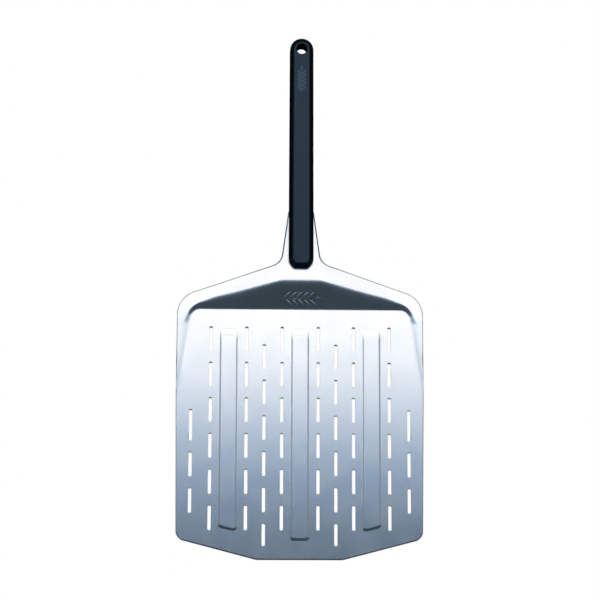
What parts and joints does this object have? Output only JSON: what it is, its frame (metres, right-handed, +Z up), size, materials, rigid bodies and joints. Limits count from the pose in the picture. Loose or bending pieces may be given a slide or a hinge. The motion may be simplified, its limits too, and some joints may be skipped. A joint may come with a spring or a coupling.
{
  "type": "pizza peel",
  "caption": "Perforated pizza peel: a wide pressed aluminium blade with stiffening ribs and a raised rim, on a slim bevelled two-shell handle with a hanging hole.",
  "frame": {"origin": "under the middle of the whole peel, on the plane that the blade rests on", "axes": "+Y from the front edge of the blade to the hanging hole, +Z up out of the face that carries the pizza, +X across the blade"},
  "size_m": [0.305, 0.646, 0.0335],
  "materials": {
    "anodised_aluminium": "satin, bead blasted and clear anodised",
    "handle_nylon": "fine moulded texture, glass-filled nylon",
    "screw_steel": "bright stainless steel",
    "insert_brass": "knurled brass"
  },
  "bodies": {
    "root": {"blade": "anodised_aluminium", "handle_front_shell": "handle_nylon", "handle_rear_shell": "handle_nylon", "handle_screw_1": "screw_steel", "handle_screw_2": "screw_steel", "handle_screw_3": "screw_steel", "handle_screw_4": "screw_steel", "handle_screw_5": "screw_steel", "threaded_insert_1": "insert_brass", "threaded_insert_2": "insert_brass", "threaded_insert_3": "insert_brass", "threaded_insert_4": "insert_brass", "threaded_insert_5": "insert_brass"}
  },
  "joints": []
}
